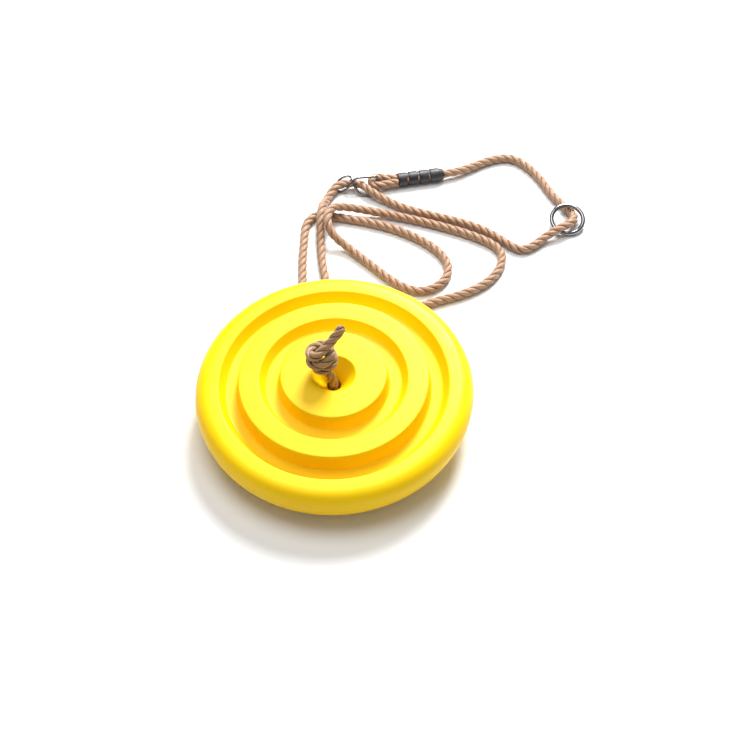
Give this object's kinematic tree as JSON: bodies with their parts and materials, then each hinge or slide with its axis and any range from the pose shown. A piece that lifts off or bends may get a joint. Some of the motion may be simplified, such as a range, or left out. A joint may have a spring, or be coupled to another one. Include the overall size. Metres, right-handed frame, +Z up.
{
  "type": "disc swing",
  "caption": "Round moulded plastic swing seat lying upside down, with its twisted rope, stopper knot, hanging ring, bent-wire length adjuster and rope clamp.",
  "frame": {"origin": "on the floor, under the middle of the seat's bounding box", "axes": "+Z up, +Y from the seat towards the rope laid out behind it, +X to the right of someone facing the rope from the seat's side"},
  "size_m": [0.426, 0.5163, 0.1271],
  "materials": {
    "seat": "smooth moulded, lightly glossy",
    "rope": "three twisted strands of fine fibre",
    "ring": "polished",
    "wire": "polished wire",
    "clamp": "satin moulded"
  },
  "bodies": {
    "rope": {"rope_in_hole": "rope", "rope_under_seat": "rope", "rope_outer_sweep": "rope", "rope_long_run": "rope", "rope_crossing_bend": "rope", "rope_inner_loop": "rope", "rope_second_run": "rope", "rope_left_run": "rope", "rope_behind_seat": "rope", "rope_right_run": "rope", "rope_crossing_hump": "rope", "rope_to_adjuster": "rope", "rope_in_adjuster": "rope", "rope_middle_run": "rope", "rope_to_ring": "rope", "rope_in_ring": "rope", "rope_far_sweep": "rope", "rope_to_clamp": "rope", "rope_eye": "rope", "rope_in_clamp": "rope", "rope_at_recess": "rope", "rope_clamp": "clamp", "wire_adjuster": "wire"},
    "seat": {"seat": "seat"},
    "knot": {"stopper_knot": "rope"},
    "ring": {"steel_ring": "ring"}
  },
  "joints": [
    {"name": "seat_spin", "type": "hinge", "parent": "rope", "child": "seat", "pos_m": [0, 0, 0.0403], "axis": [-0.017, -0.0495, 0.9986], "continuous": true},
    {"name": "knot_draw", "type": "slide", "parent": "rope", "child": "knot", "axis": [0.5143, -0.1646, -0.8416], "range_m": [0, 0.021], "deforming": ["rope_at_recess"]},
    {"name": "ring_spin", "type": "hinge", "parent": "rope", "child": "ring", "pos_m": [0.2655, 0.265, 0.0086], "axis": [0, -0.2924, 0.9563], "continuous": true}
  ]
}
